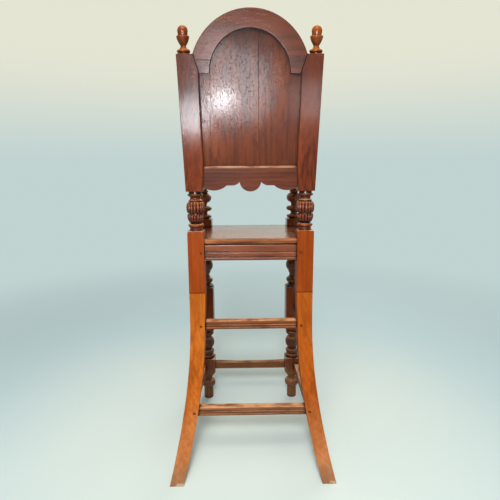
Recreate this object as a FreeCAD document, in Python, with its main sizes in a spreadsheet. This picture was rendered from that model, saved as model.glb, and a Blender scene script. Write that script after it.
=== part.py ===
import FreeCAD, Part
import math
import os
import Sketcher
from types import SimpleNamespace

# A joined oak high chair with turned front legs, spliced sabre rear legs and an arched panel back.
# It stands on the floor with +Z up and faces -Y, so +X is the sitter's left.
# The origin is on the floor, at the middle of the chair's box.

Vector = FreeCAD.Vector
ACROSS = Vector(1, 0, 0)
DEEP = Vector(0, 1, 0)
UP = Vector(0, 0, 1)

# Driving dimensions in millimetres, angles in degrees
SIZES = {
    # Plan and heights of the frame
    "leg_x": 132.7,
    "leg_pitch": 222,
    "post_side": 39.5,
    "front_side": 45,
    "seat_height": 549,
    "arm_rise": 115,
    # Clearances of the joints
    "joint_play": 0.1,
    "end_gap": 0.5,
    # Mortise and tenon joints and their pegs
    "tenon_length": 15,
    "tenon_thick": 9,
    "tenon_shoulder": 6,
    "peg_dia": 6,
    "peg_length_share": 0.68,
    "peg_inset_share": 0.22,
    "peg_stagger": 7,
    "peg_proud": 0.5,
    # Rear legs below the splice, which sweep back and out to the floor
    "splice_drop": 134,
    "kick_drop": 15,
    "kick_back": 150,
    "splay_drop": 85,
    "splay_out": 39.5,
    "shank_taper": 3.5,
    "foot_width": 32,
    "foot_depth": 30,
    "splice_dowel_dia": 14,
    "splice_dowel_length": 60,
    # Blocks of the front legs
    "foot_turn_height": 68,
    "lower_block_height": 68,
    "mid_block_height": 138,
    "upper_block_drop": 94,
    "upper_block_rise": 24,
    "lower_stretch_share": 0.508,
    "foot_shoulder": 44,
    "block_shoulder": 6,
    "arm_stub_dia": 18,
    "arm_stub_length": 14,
    # Blocks of the rear posts
    "post_block_rise": 20,
    "post_turn_height": 94,
    # Seat board and seat rails
    "seat_thick": 14,
    "seat_overhang": 18,
    "seat_front_reach": 32,
    "seat_rear_reach": 14,
    "seat_edge_round": 5,
    "seat_rail_height": 40,
    "seat_rail_thick": 22,
    "seat_rail_groove_low": 7,
    "seat_rail_groove_high": 20,
    "seat_peg_length": 34,
    # Stretchers between the legs
    "stretcher_height": 22,
    "stretcher_thick": 17,
    "stretcher_groove_low": 6,
    "stretcher_groove_high": 12.5,
    "groove_width": 4,
    "groove_sink": 1.6,
    "rail_round": 4,
    "side_rail_thick": 18,
    "side_rail_inset": 0.5,
    "side_upper_rise": 65,
    "rear_upper_step": 25,
    "rear_lower_bottom": 117,
    "side_lower_bottom": 96,
    "front_lower_bottom": 98,
    "front_lower_height": 22,
    "front_lower_thick": 16,
    "front_wear": 3,
    # Arms
    "arm_thick": 22,
    "arm_front_width": 44,
    "arm_rear_width": 32,
    "arm_front_reach": 45,
    "arm_round": 5,
    # Raked back, heights along the slope from the top of the turned bulbs
    "back_rake": 10,
    "back_depth": 38,
    "back_recess": 6,
    "ledge_height": 61,
    "spring_height": 259.5,
    "post_top_height": 298,
    "post_foot_inset": 19.2,
    "post_ledge_inset": 24.2,
    "post_spring_inset": 22.7,
    "post_foot_outset": 19.6,
    "post_top_outset": 24,
    "crest_inset": 7.6,
    "crest_corner_inset": 10.2,
    "crest_width": 37.1,
    "crest_thick": 20,
    "crest_tenon_rise": 8,
    "crest_tenon_height": 16,
    "patch_height": 27,
    "panel_thick": 9,
    "panel_sink": 7,
    "groove_depth": 6,
    "board_joint": 19,
    "ledge_bevel": 4,
    "post_chamfer": 2.5,
    # Scalloped lower edge of the back's bottom rail, out from the middle
    "lobe_half": 24.5,
    "lobe_drop": 1.5,
    "lobe_shoulder": 20,
    "cusp_rise": 24,
    "cusp_step": 1,
    "cove_rise": 18.5,
    "cyma_reach": 39.5,
    "flat_reach": 56,
    "flat_rise": 16,
    "side_lobe_reach": 82,
    "side_lobe_rise": 4.5,
    "apron_end_rise": 12.5,
    # Finials
    "finial_outset": 9.4,
    "finial_plinth_dia": 26,
    "finial_plinth_height": 3,
    "finial_ring_dia": 29,
    "finial_ring_height": 6.5,
    "finial_cove_dia": 21,
    "finial_flare_dia": 15,
    "finial_neck_dia": 12,
    "finial_neck_rise": 15,
    "finial_neck_height": 1.5,
    "finial_bowl_dia": 21.6,
    "finial_cup_dia": 27.6,
    "finial_cup_rise": 32,
    "finial_lip_height": 4,
    "finial_lip_round": 1.6,
    "finial_seam_dia": 20.4,
    "finial_nut_dia": 22.6,
    "finial_height": 56,
    "finial_pin_dia": 10,
    "finial_pin_length": 16,
    # Gadrooned lobes round the cover and the cup of the rear posts
    "lobe_count": 16,
    "cover_lobe_centre": 17.9,
    "cover_lobe_radial": 4.8,
    "cover_lobe_across": 4,
    "cup_lobe_centre": 15.2,
    "cup_lobe_radial": 4.5,
    "cup_lobe_across": 3.5,
    "cup_lobe_tilt": 16,
}

# Turned stretches from the bottom up: name, form, height and diameter of each moulding.
# A stretch is drawn out or pressed together to fill the length between its two blocks.
TURNINGS = {
    "foot": (
        ("foot_peg", "neck", 36.5, 28.5),
        ("foot_bead", "bead", 26, 43),
        ("foot_neck", "neck", 5.5, 24),
    ),
    "lower": (
        ("lower_first_ring", "bead", 11, 41),
        ("lower_quirk", "neck", 2, 31),
        ("lower_second_ring", "bead", 14, 40),
        ("lower_neck", "neck", 3, 25),
        ("lower_ball", "bead", 38, 42.5),
        ("lower_ball_neck", "neck", 5, 25),
        ("lower_top_ring", "bead", 14, 40),
        ("lower_top_neck", "neck", 5, 27),
    ),
    "upper": (
        ("upper_disc", "neck", 5, 41),
        ("upper_hollow", "hollow", 7, 28),
        ("upper_ring", "bead", 15, 41),
        ("upper_reel", "hollow", 17, 22),
        ("upper_reel_neck", "neck", 4, 29),
        ("upper_ball", "bead", 36, 44),
        ("upper_ball_neck", "neck", 5, 27),
    ),
    "stump": (
        ("stump_neck", "neck", 2.5, 30),
        ("stump_ring", "bead", 8.5, 43),
        ("stump_cove", "hollow", 11.5, 19),
        ("stump_bell", "bell", 14, 44),
        ("stump_flare", "hollow", 8, 17),
        ("stump_waist", "neck", 2, 20),
        ("stump_ball", "bead", 28.5, 44),
        ("stump_collar_neck", "neck", 2, 22),
        ("stump_collar", "bead", 5, 28),
        ("stump_top", "neck", 9, 20),
    ),
    "post": (
        ("post_foot_neck", "neck", 8, 30),
        ("post_foot_ring", "bead", 8, 37.5),
        ("post_stem", "neck", 2, 25),
        ("post_cup", "cup", 22, 34),
        ("post_waist", "neck", 1.5, 32),
        ("post_cover", "bead", 27, 38),
        ("post_cover_neck", "neck", 1, 31),
        ("post_fillet", "bead", 4.5, 33),
        ("post_cavetto", "hollow", 8.5, 25),
        ("post_head_ring", "bead", 6, 37),
        ("post_head_neck", "neck", 5.5, 31),
    ),
}

# Height at which each swelling moulding is widest, as a share of its own height
WIDEST = {"bead": 0.5, "hollow": 0.5, "cup": 0.7, "bell": 0.3}

# Radius at the foot of a swelling that stands on a block, as a share of its widest radius
FIRST_EDGE = 0.85

# Middle of a quarter round, as a share of its radius from the corner that it rounds off
QUARTER_ROUND = 1 - math.sqrt(0.5)


class Size:
    """A number together with the sheet formula that gives it."""

    def __init__(self, number, formula):
        self.number = number
        self.formula = formula

    def __add__(self, other):
        other = as_size(other)
        return Size(self.number + other.number, f"({self.formula} + {other.formula})")

    def __sub__(self, other):
        other = as_size(other)
        return Size(self.number - other.number, f"({self.formula} - {other.formula})")

    def __mul__(self, other):
        other = as_size(other)
        return Size(self.number * other.number, f"({self.formula} * {other.formula})")

    def __truediv__(self, other):
        other = as_size(other)
        return Size(self.number / other.number, f"({self.formula} / {other.formula})")

    def __neg__(self):
        return Size(-self.number, f"(-{self.formula})")

    def __radd__(self, other):
        return as_size(other) + self

    def __rsub__(self, other):
        return as_size(other) - self

    def __rmul__(self, other):
        return as_size(other) * self


def as_size(value):
    """Take a plain number as a size of its own."""
    if isinstance(value, Size):
        return value
    return Size(float(value), f"({value})")


def root(value):
    return Size(math.sqrt(value.number), f"sqrt({value.formula})")


def sine(angle):
    return Size(math.sin(math.radians(angle.number)), f"sin({angle.formula})")


def cosine(angle):
    return Size(math.cos(math.radians(angle.number)), f"cos({angle.formula})")


def slope_angle(rise, run):
    number = math.degrees(math.atan(rise.number / run.number))
    return Size(number, f"(atan({rise.formula} / {run.formula}) / 1deg)")


# The document and its sheet of driving dimensions
doc = FreeCAD.newDocument("HighChair")
sheet = doc.addObject("Spreadsheet::Sheet", "Sizes")


def fill_sheet():
    """Write each driving dimension under its alias and hand the sizes back by name."""
    values = dict(SIZES)
    for pattern in TURNINGS.values():
        for name, form, height, dia in pattern:
            values[name + "_height"] = height
            values[name + "_dia"] = dia
    sizes = {}
    for row, (alias, value) in enumerate(values.items(), 1):
        sheet.set(f"A{row}", alias)
        sheet.set(f"B{row}", str(value))
        sheet.setAlias(f"B{row}", alias)
        sizes[alias] = Size(value, f"Sizes.{alias}")
    doc.recompute()
    return sizes


sizes = fill_sheet()
d = SimpleNamespace(**sizes)

# Sizes that follow from the driving ones
post_half = d.post_side / 2
front_half = d.front_side / 2
peg_length = d.post_side * d.peg_length_share
peg_inset = d.post_side * d.peg_inset_share
splice_height = d.seat_height - d.splice_drop
kick_start = splice_height - d.kick_drop
splay_start = splice_height - d.splay_drop
kick_front = d.kick_back + d.post_side - d.foot_depth
splay_in = d.splay_out + d.post_side - d.shank_taper - d.foot_width
front_y = (d.arm_front_reach - d.leg_pitch - post_half - d.kick_back) / 2
rear_y = front_y + d.leg_pitch
rail_top = d.seat_height - d.seat_thick
seat_rail_bottom = rail_top - d.seat_rail_height
arm_bottom = d.seat_height + d.arm_rise
post_block_top = d.seat_height + d.post_block_rise
pivot_z = post_block_top + d.post_turn_height
lower_block_top = d.foot_turn_height + d.lower_block_height
upper_block_bottom = d.seat_height - d.upper_block_drop
turned_length = upper_block_bottom - lower_block_top - d.mid_block_height
mid_block_bottom = lower_block_top + turned_length * d.lower_stretch_share
mid_block_top = mid_block_bottom + d.mid_block_height
side_upper_bottom = mid_block_bottom + d.side_upper_rise
rear_upper_bottom = side_upper_bottom + d.rear_upper_step
back_face = d.back_depth / 2 - d.back_recess
post_in_foot = d.leg_x - d.post_foot_inset
post_in_ledge = d.leg_x - d.post_ledge_inset
post_in_spring = d.leg_x - d.post_spring_inset
post_out_foot = d.leg_x + d.post_foot_outset
post_out_top = d.leg_x + d.post_top_outset
finial_x = d.leg_x + d.finial_outset
crest_radius = d.leg_x - d.crest_inset
crest_inner = crest_radius - d.crest_width
panel_face = back_face - d.panel_sink
crest_corner = d.leg_x - d.crest_corner_inset


def sweep_out(start, reach, level):
    """How far a round sweep, upright at start and out by reach at the floor, has gone at a level."""
    radius = (start * start + reach * reach) / (2 * reach)
    drop = start - level
    return radius - root(radius * radius - drop * drop)


def leg_back(level):
    return rear_y + post_half + sweep_out(kick_start, d.kick_back, level)


def leg_front(level):
    return rear_y - post_half + sweep_out(kick_start, kick_front, level)


def leg_outer(level):
    return d.leg_x + post_half + sweep_out(splay_start, d.splay_out, level)


def leg_inner(level):
    return d.leg_x - post_half + d.shank_taper + sweep_out(splay_start, splay_in, level)


def bind(item, path, size):
    """Drive one property of an object by the sheet."""
    item.setExpression(path, as_size(size).formula)


def place(item, x=0, y=0, z=0, turn=0, axis=UP):
    """Put an object at a point, turned about an axis, both driven by the sheet."""
    spot = [as_size(value) for value in (x, y, z)]
    angle = as_size(turn)
    item.Placement = FreeCAD.Placement(
        Vector(*[value.number for value in spot]), FreeCAD.Rotation(axis, angle.number)
    )
    for name, value in zip("xyz", spot):
        bind(item, "Placement.Base." + name, value)
    if isinstance(turn, Size):
        bind(item, "Placement.Rotation.Angle", turn)
    return item


def lean(item):
    """Put an object that is drawn upright into the raked back."""
    return place(item, 0, rear_y, pivot_z, d.back_rake, -ACROSS)


def new_body(name):
    return doc.addObject("PartDesign::Body", name)


def new_sketch(body, plane, name, lift=None):
    """A sketch on one of the body's own planes, lifted along the plane's normal."""
    sketch = body.newObject("Sketcher::SketchObject", name)
    support = next(item for item in body.Origin.OriginFeatures if item.Role == plane)
    sketch.AttachmentSupport = [(support, "")]
    sketch.MapMode = "FlatFace"
    if lift is not None:
        bind(sketch, "AttachmentOffset.Base.z", lift)
    return sketch


def flat_point(x, y):
    return Vector(as_size(x).number, as_size(y).number, 0)


def draw(sketch, corners):
    """Close an outline through its corners and drive each of them by the sheet.

    A corner is (x, y), reached by a straight run, or (x, y, via_x, via_y), reached by an arc.
    """
    kept = []
    for corner in corners:
        here = flat_point(*corner[:2])
        if not kept or (here - flat_point(*kept[-1][:2])).Length > 1e-6:
            kept.append(corner)
    first = sketch.GeometryCount
    runs = []
    for before, corner in zip(kept[-1:] + kept[:-1], kept):
        start, end = flat_point(*before[:2]), flat_point(*corner[:2])
        if len(corner) == 2:
            runs.append(Part.LineSegment(start, end))
        else:
            runs.append(Part.Arc(start, flat_point(*corner[2:]), end))
    sketch.addGeometry(runs, False)

    rules = []
    drivers = []

    def drive_point(index, position, x, y):
        for axis, value in (("DistanceX", as_size(x)), ("DistanceY", as_size(y))):
            drivers.append((len(rules), value))
            rules.append(Sketcher.Constraint(axis, -1, 1, index, position, value.number))

    def ends(run, corner):
        index = first + run
        near = (sketch.getPoint(index, 2) - flat_point(*corner[:2])).Length < 1e-4
        return (1, 2) if near else (2, 1)

    for run, corner in enumerate(kept):
        following = (run + 1) % len(kept)
        end = ends(run, corner)[1]
        start = ends(following, kept[following])[0]
        rules.append(Sketcher.Constraint("Coincident", first + run, end, first + following, start))
        drive_point(first + run, end, *corner[:2])
        if len(corner) > 2:
            point = sketch.addGeometry(Part.Point(flat_point(*corner[2:])), True)
            drive_point(point, 1, *corner[2:])
            rules.append(Sketcher.Constraint("PointOnObject", point, 1, first + run))

    base = sketch.ConstraintCount
    sketch.addConstraint(rules)
    for index, value in drivers:
        if "Sizes" in value.formula:
            bind(sketch, f"Constraints[{base + index}]", value)


def pad(body, sketch, length, symmetric=False):
    feature = body.newObject("PartDesign::Pad", sketch.Name + "_pad")
    feature.Profile = sketch
    if symmetric:
        feature.SideType = "Symmetric"
    bind(feature, "Length", length)
    return feature


def revolve(body, sketch, kind="PartDesign::Revolution"):
    feature = body.newObject(kind, sketch.Name + "_turned")
    feature.Profile = sketch
    feature.ReferenceAxis = (sketch, ["V_Axis"])
    feature.Angle = 360
    return feature


def ease(body, kind, setting, size, chosen):
    """Round or bevel the edges of the body's last feature that the test picks out."""
    doc.recompute()
    tip = body.Tip
    names = [f"Edge{i}" for i, edge in enumerate(tip.Shape.Edges, 1) if chosen(edge.BoundBox)]
    feature = body.newObject("PartDesign::" + kind, body.Name + "_eased")
    feature.Base = (tip, names)
    bind(feature, setting, size)


def fillet(body, radius, chosen):
    ease(body, "Fillet", "Radius", radius, chosen)


def chamfer(body, width, chosen):
    ease(body, "Chamfer", "Size", width, chosen)


def cut(base, tools):
    """Take each tool away from the base in turn."""
    for tool in tools:
        step = doc.addObject("Part::Cut", base.Name + "_cut")
        step.Base = base
        step.Tool = tool
        base = step
    return base


def fuse(first, second):
    joined = doc.addObject("Part::Fuse", first.Name + "_joined")
    joined.Base = first
    joined.Tool = second
    joined.Refine = True
    return joined


def common(first, second):
    shared = doc.addObject("Part::Common", first.Name + "_shared")
    shared.Base = first
    shared.Tool = second
    return shared


def mirror(item):
    """The same object on the sitter's right."""
    twin = doc.addObject("Part::Mirroring", item.Name + "_twin")
    twin.Source = item
    twin.Normal = ACROSS
    twin.Base = Vector(0, 0, 0)
    return twin


def block(name, low, high):
    """A square-cornered solid between two corner points."""
    item = doc.addObject("Part::Box", name)
    for path, start, end in zip(("Length", "Width", "Height"), low, high):
        bind(item, path, as_size(end) - start)
    return place(item, *low)


nodes = {}


def keep(label, item):
    """Name a finished sub-part."""
    item.Label = label
    nodes[label] = item


def keep_pair(stem, item):
    keep(stem + "_left", item)
    keep(stem + "_right", mirror(item))


# Turned work

def moulding_radius(moulding):
    return sizes[moulding[0] + "_dia"] / 2


def shared_radius(first, second):
    """Radius where two mouldings meet: a neck keeps its own, other pairs meet half way."""
    for moulding in (first, second):
        if moulding[1] == "neck":
            return moulding_radius(moulding)
    return (moulding_radius(first) + moulding_radius(second)) / 2


def turned_levels(stretch, bottom, top):
    """Lower and upper level of each moulding of a stretch that fills the length between two levels."""
    heights = [sizes[moulding[0] + "_height"] for moulding in TURNINGS[stretch]]
    scale = (top - bottom) / sum(heights, as_size(0))
    edges = [bottom + sum(heights[:count], as_size(0)) * scale for count in range(len(heights) + 1)]
    return list(zip(edges[:-1], edges[1:]))


def turned_stretch(body, stretch, bottom, top):
    """Turn one stretch of mouldings between two levels."""
    pattern = TURNINGS[stretch]
    corners = [(0, bottom)]
    for index, (floor, ceiling) in enumerate(turned_levels(stretch, bottom, top)):
        moulding = pattern[index]
        form = moulding[1]
        radius = moulding_radius(moulding)
        if form == "neck":
            corners += [(radius, floor), (radius, ceiling)]
            continue
        low_radius = shared_radius(pattern[index - 1], moulding) if index else radius * FIRST_EDGE
        high_radius = shared_radius(moulding, pattern[index + 1])
        widest = floor + (ceiling - floor) * WIDEST[form]
        corners += [(low_radius, floor), (high_radius, ceiling, radius, widest)]
    corners.append((0, top))
    sketch = new_sketch(body, "XZ_Plane", body.Name + "_" + stretch)
    draw(sketch, corners)
    revolve(body, sketch)


def square_block(body, name, side, bottom, top, low_shoulder, high_shoulder, waist=None):
    """A square block whose corners the lathe has turned away at its ends, at the foot down to a waist."""
    half = side / 2
    reach = side
    waist = waist or half
    face = new_sketch(body, "XY_Plane", name + "_square", bottom)
    draw(face, [(-half, -half), (half, -half), (half, half), (-half, half)])
    pad(body, face, top - bottom)
    shoulders = new_sketch(body, "XZ_Plane", name + "_shoulders")
    if low_shoulder:
        draw(shoulders, [(waist, bottom), (reach, bottom), (reach, bottom + low_shoulder)])
    if high_shoulder:
        draw(shoulders, [(half, top), (reach, top - high_shoulder), (reach, top)])
    revolve(body, shoulders, "PartDesign::Groove")


def lobes(body, name, level, height, centre, radial, across, tilt):
    """A ring of long rounded lobes standing out of a turned swelling."""
    lobe = body.newObject("PartDesign::AdditiveEllipsoid", name)
    support = next(item for item in body.Origin.OriginFeatures if item.Role == "XY_Plane")
    lobe.AttachmentSupport = [(support, "")]
    lobe.MapMode = "FlatFace"
    lobe.AttachmentOffset = FreeCAD.Placement(Vector(), FreeCAD.Rotation(DEEP, as_size(tilt).number))
    bind(lobe, "AttachmentOffset.Base.x", centre)
    bind(lobe, "AttachmentOffset.Base.z", level)
    if isinstance(tilt, Size):
        bind(lobe, "AttachmentOffset.Rotation.Angle", tilt)
    bind(lobe, "Radius1", height / 2)
    bind(lobe, "Radius2", radial)
    bind(lobe, "Radius3", across)
    ring = body.newObject("PartDesign::PolarPattern", name + "_ring")
    ring.Originals = [lobe]
    upright = next(item for item in body.Origin.OriginFeatures if item.Role == "Z_Axis")
    ring.Axis = (upright, [""])
    ring.Angle = 360
    bind(ring, "Occurrences", d.lobe_count)
    body.Tip = ring


# Rails with run mouldings, and the tenons that join them to the legs

def rail(name, length, height, thick, low_groove, high_groove):
    """A rail along X with its underside at zero and its moulded face towards +Y."""
    body = new_body(name)
    half = thick / 2
    corners = [(-half, 0), (half, 0)]
    for level in (low_groove, high_groove):
        corners.append((half, level - d.groove_width / 2))
        corners.append((half, level + d.groove_width / 2, half - d.groove_sink, level))
    corners.append((half, height - d.rail_round))
    bend = d.rail_round * QUARTER_ROUND
    corners.append((half - d.rail_round, height, half - bend, height - bend))
    corners.append((-half, height))
    section = new_sketch(body, "YZ_Plane", name + "_section")
    draw(section, corners)
    pad(body, section, length, symmetric=True)
    return body


def bar(name, length, thick, bottom, top):
    """A plain bar along X, centred on it."""
    body = new_body(name)
    half = thick / 2
    section = new_sketch(body, "YZ_Plane", name + "_section")
    draw(section, [(-half, bottom), (half, bottom), (half, top), (-half, top)])
    pad(body, section, length, symmetric=True)
    return body


def tenons(name, length, height):
    """The bar of a rail's two tenons, and the wider bar that its two mortises are cut with."""
    inner = bar(name + "_tenon", length, d.tenon_thick, d.tenon_shoulder, height - d.tenon_shoulder)
    outer = bar(
        name + "_mortise",
        length + 2 * d.end_gap,
        d.tenon_thick + 2 * d.joint_play,
        d.tenon_shoulder - d.joint_play,
        height - d.tenon_shoulder + d.joint_play,
    )
    return inner, outer


# Pegs, each with the hole that it is driven into
INTO_BACK = (ACROSS, 90)
INTO_FRONT = (ACROSS, -90)
INTO_SIDE = (DEEP, -90)
DOWN = (ACROSS, 180)


def rod(name, dia, length, spot, heading):
    item = doc.addObject("Part::Cylinder", name)
    bind(item, "Radius", dia / 2)
    bind(item, "Height", length)
    axis, angle = heading
    return place(item, *spot, angle, axis)


def peg(name, spot, heading, length=peg_length):
    """A peg that starts at a point, and its hole."""
    pin = rod(name, d.peg_dia, length, spot, heading)
    hole = rod(name + "_hole", d.peg_dia + 2 * d.joint_play, length + d.end_gap, spot, heading)
    return pin, hole


def group(label, items):
    bundle = doc.addObject("Part::Compound", label)
    bundle.Links = items
    keep(label, bundle)


# Rear legs, sawn to a side outline and to a back outline

def leg_side_cut(name, grow):
    """The sweep of the leg seen from the side, made larger by grow and as wide as the chair."""
    half_kick = kick_start / 2
    body = new_body(name)
    outline = new_sketch(body, "YZ_Plane", name + "_outline")
    draw(outline, [
        (leg_front(0) - grow, 0, leg_front(half_kick) - grow, half_kick),
        (leg_back(0) + grow, 0),
        (leg_back(kick_start) + grow, kick_start, leg_back(half_kick) + grow, half_kick),
        (rear_y + post_half + grow, splice_height),
        (rear_y - post_half - grow, splice_height),
        (leg_front(kick_start) - grow, kick_start),
    ])
    pad(body, outline, 4 * leg_outer(0), symmetric=True)
    return body


def leg_back_cut(name, grow):
    """The splay of the leg seen from behind, made larger by grow and as deep as the chair."""
    half_splay = splay_start / 2
    body = new_body(name)
    outline = new_sketch(body, "XZ_Plane", name + "_outline")
    draw(outline, [
        (leg_inner(0) - grow, 0, leg_inner(half_splay) - grow, half_splay),
        (leg_outer(0) + grow, 0),
        (leg_outer(splay_start) + grow, splay_start, leg_outer(half_splay) + grow, half_splay),
        (d.leg_x + post_half + grow, splice_height),
        (d.leg_x - post_half - grow, splice_height),
        (leg_inner(splay_start) - grow, splay_start),
    ])
    pad(body, outline, 4 * leg_back(0), symmetric=True)
    return body


def rear_legs(cuts):
    """Rear legs below the splice, each sawn to the two outlines."""
    side = leg_side_cut("rear_leg_side", as_size(0))
    back = leg_back_cut("rear_leg_back", as_size(0))
    keep_pair("rear_leg", cut(common(side, back), cuts))


# The raked back, drawn upright and leaned as a whole

def leaned(x, depth, height):
    """Point of the chair for a point of the upright back."""
    return (
        x,
        rear_y + depth * cosine(d.back_rake) + height * sine(d.back_rake),
        pivot_z - depth * sine(d.back_rake) + height * cosine(d.back_rake),
    )


def slab(name, corners, thick, middle):
    """A flat piece of the back, with its middle that far behind the axes of the posts."""
    body = lean(new_body(name))
    outline = new_sketch(body, "XZ_Plane", name + "_outline", -middle)
    draw(outline, corners)
    pad(body, outline, thick, symmetric=True)
    return body


def rectangle(left, right, low, high):
    return [(left, low), (right, low), (right, high), (left, high)]


def panel_blank(name, grow):
    """The whole panel with its edges in the grooves, made larger by grow all round."""
    side = post_in_ledge + d.groove_depth + grow
    bottom = d.ledge_height - d.groove_depth - grow
    rise = d.groove_depth + grow
    shoulder = d.spring_height + rise
    radius = crest_inner + rise
    reach = root(radius * radius - rise * rise)
    corners = [
        (-side, bottom),
        (side, bottom),
        (side, shoulder),
        (reach, shoulder),
        (-reach, shoulder, 0, d.spring_height + radius),
        (-side, shoulder),
    ]
    return slab(name, corners, d.panel_thick + 2 * grow, panel_face - d.panel_thick / 2)


def back_panel():
    """Two boards that meet off the middle, free in their grooves."""
    top = d.spring_height + crest_radius
    wide = panel_blank("panel_wide", as_size(0))
    narrow = panel_blank("panel_narrow", as_size(0))
    split = slab("panel_split", rectangle(-2 * d.leg_x, -d.board_joint, 0, top), d.back_depth, 0)
    keep("back_board_wide", cut(wide, [split]))
    keep("back_board_narrow", common(narrow, split))


def crest(panel_room):
    """The half-round arch, with a glued end on the sitter's left, and the mortises for it."""
    middle = back_face - d.crest_thick / 2
    top = d.spring_height + crest_radius
    spring, corner = post_in_spring, crest_corner
    arch = slab("crest_blank", [
        (corner, d.post_top_height),
        (-corner, d.post_top_height, 0, top),
        (-spring, d.spring_height),
        (-crest_inner, d.spring_height),
        (crest_inner, d.spring_height, 0, d.spring_height + crest_inner),
        (spring, d.spring_height),
    ], d.crest_thick, middle)
    low = d.spring_height + d.crest_tenon_rise
    high = low + d.crest_tenon_height
    reach = (spring + corner) / 2 + d.tenon_length
    tenon = slab("crest_tenon", rectangle(spring, reach, low, high), d.tenon_thick, middle)
    play = d.joint_play
    mortise = slab(
        "crest_mortise",
        rectangle(spring - play, reach + d.end_gap, low - play, high + play),
        d.tenon_thick + 2 * play,
        middle,
    )
    whole = cut(fuse(fuse(arch, tenon), mirror(tenon)), [panel_room])
    patch_top = d.spring_height + d.patch_height
    end = slab("crest_end", rectangle(0, 2 * d.leg_x, 0, patch_top), 2 * d.back_depth, 0)
    keep("crest_arch", cut(whole, [end]))
    keep("crest_end_patch", common(whole, end))
    return mortise


def apron(panel_room):
    """The back's bottom rail with its scalloped lower edge, its mortise and its peg."""
    middle = back_face - d.crest_thick / 2
    slope = (post_in_ledge - post_in_foot) / d.ledge_height
    end = post_in_foot + slope * d.apron_end_rise
    cusp = d.lobe_half + d.cusp_step
    cove = (cusp + d.cyma_reach) / 2
    body = slab("apron_blank", [
        (-post_in_ledge, d.ledge_height),
        (post_in_ledge, d.ledge_height),
        (end, d.apron_end_rise),
        (d.flat_reach, d.flat_rise, d.side_lobe_reach, d.side_lobe_rise),
        (d.cyma_reach, d.flat_rise),
        (cusp, d.cusp_rise, cove, d.cove_rise),
        (d.lobe_half, d.lobe_shoulder),
        (-d.lobe_half, d.lobe_shoulder, 0, d.lobe_drop),
        (-cusp, d.cusp_rise),
        (-d.cyma_reach, d.flat_rise, -cove, d.cove_rise),
        (-d.flat_reach, d.flat_rise),
        (-end, d.apron_end_rise, -d.side_lobe_reach, d.side_lobe_rise),
    ], d.crest_thick, middle)
    ledge, face = d.ledge_height.number, back_face.number
    chamfer(body, d.ledge_bevel, lambda box: box.ZMin > ledge - 0.01 and box.YMin > face - 0.01)
    low = d.cusp_rise + d.tenon_shoulder
    high = d.ledge_height - d.groove_depth - d.tenon_shoulder
    reach = post_in_ledge + d.tenon_length
    tenon = slab("apron_tenon", rectangle(-reach, reach, low, high), d.tenon_thick, middle)
    play = d.joint_play
    longest = reach + d.end_gap
    mortise = slab(
        "apron_mortise",
        rectangle(-longest, longest, low - play, high + play),
        d.tenon_thick + 2 * play,
        middle,
    )
    spot = leaned(post_in_ledge + peg_inset, d.back_depth / 2 + d.peg_proud, (low + high) / 2)
    pin, hole = peg("apron_peg", spot, (ACROSS, 90 - d.back_rake))
    keep("back_bottom_rail", cut(fuse(body, tenon), [panel_room, hole, mirror(hole)]))
    group("back_rail_pegs", [pin, mirror(pin)])
    return [mortise, hole]


def finials():
    """Acorn finials with a pin below, and the hole for the pin."""
    body = new_body("finial")
    place(body, *leaned(finial_x, 0, d.post_top_height), d.back_rake, -ACROSS)
    pin, plinth, ring = d.finial_pin_dia / 2, d.finial_plinth_dia / 2, d.finial_ring_dia / 2
    cove, flare, neck = d.finial_cove_dia / 2, d.finial_flare_dia / 2, d.finial_neck_dia / 2
    bowl, cup = d.finial_bowl_dia / 2, d.finial_cup_dia / 2
    seam, nut = d.finial_seam_dia / 2, d.finial_nut_dia / 2
    ring_top = d.finial_plinth_height + d.finial_ring_height
    neck_top = d.finial_neck_rise + d.finial_neck_height
    lip = d.finial_cup_rise + d.finial_lip_height
    bend = d.finial_lip_round * QUARTER_ROUND
    dome = d.finial_height - nut
    outline = new_sketch(body, "XZ_Plane", "finial_outline")
    draw(outline, [
        (0, -d.finial_pin_length),
        (pin, -d.finial_pin_length),
        (pin, 0),
        (plinth, 0),
        (plinth, d.finial_plinth_height),
        (cove, ring_top, ring, d.finial_plinth_height + d.finial_ring_height / 2),
        (neck, d.finial_neck_rise, flare, (ring_top + d.finial_neck_rise) / 2),
        (neck, neck_top),
        (cup, d.finial_cup_rise, bowl, (neck_top + d.finial_cup_rise) / 2),
        (cup, lip - d.finial_lip_round),
        (cup - d.finial_lip_round, lip, cup - bend, lip - bend),
        (seam, lip),
        (nut, dome),
        (0, d.finial_height, nut * (1 - QUARTER_ROUND), dome + nut * (1 - QUARTER_ROUND)),
    ])
    revolve(body, outline)
    keep_pair("finial", body)
    depth = d.finial_pin_length + d.end_gap
    hole = rod("finial_hole", d.finial_pin_dia + 2 * d.joint_play, depth,
               leaned(finial_x, 0, d.post_top_height), (ACROSS, 180 - d.back_rake))
    return hole


# Seat and arms

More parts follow.
